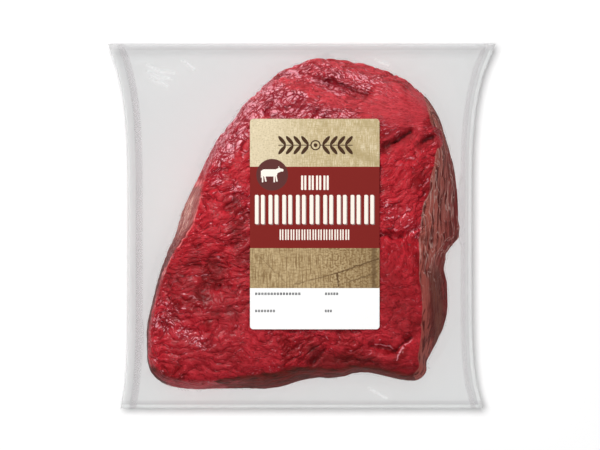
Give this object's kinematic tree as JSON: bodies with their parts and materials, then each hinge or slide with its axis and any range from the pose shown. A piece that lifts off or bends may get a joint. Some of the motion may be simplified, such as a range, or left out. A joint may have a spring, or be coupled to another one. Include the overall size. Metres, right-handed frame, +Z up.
{
  "type": "vacuum-packed beef roasting joint",
  "caption": "Raw boneless beef topside joint for roasting, sealed in a clear vacuum pouch with flat welded margins and a paper label on its front.",
  "frame": {"origin": "under the middle of the pack's outline, on the surface that it lies on", "axes": "+Z up through the meat and the label, +X to the right across the label, +Y up the label towards the wider end seal"},
  "size_m": [0.2408, 0.2264, 0.0529],
  "materials": {
    "packed_beef": "raw lean beef under tight clear film: deep red, wet and glossy, with brown-red sides",
    "clear_film": "clear vacuum film with a faint grey tint and glossy wrinkles",
    "label_paper": "printed paper label with a kraft ground, a dark red band and a white panel"
  },
  "bodies": {
    "root": {"pouch": "packed_beef", "label": "label_paper"}
  },
  "joints": []
}
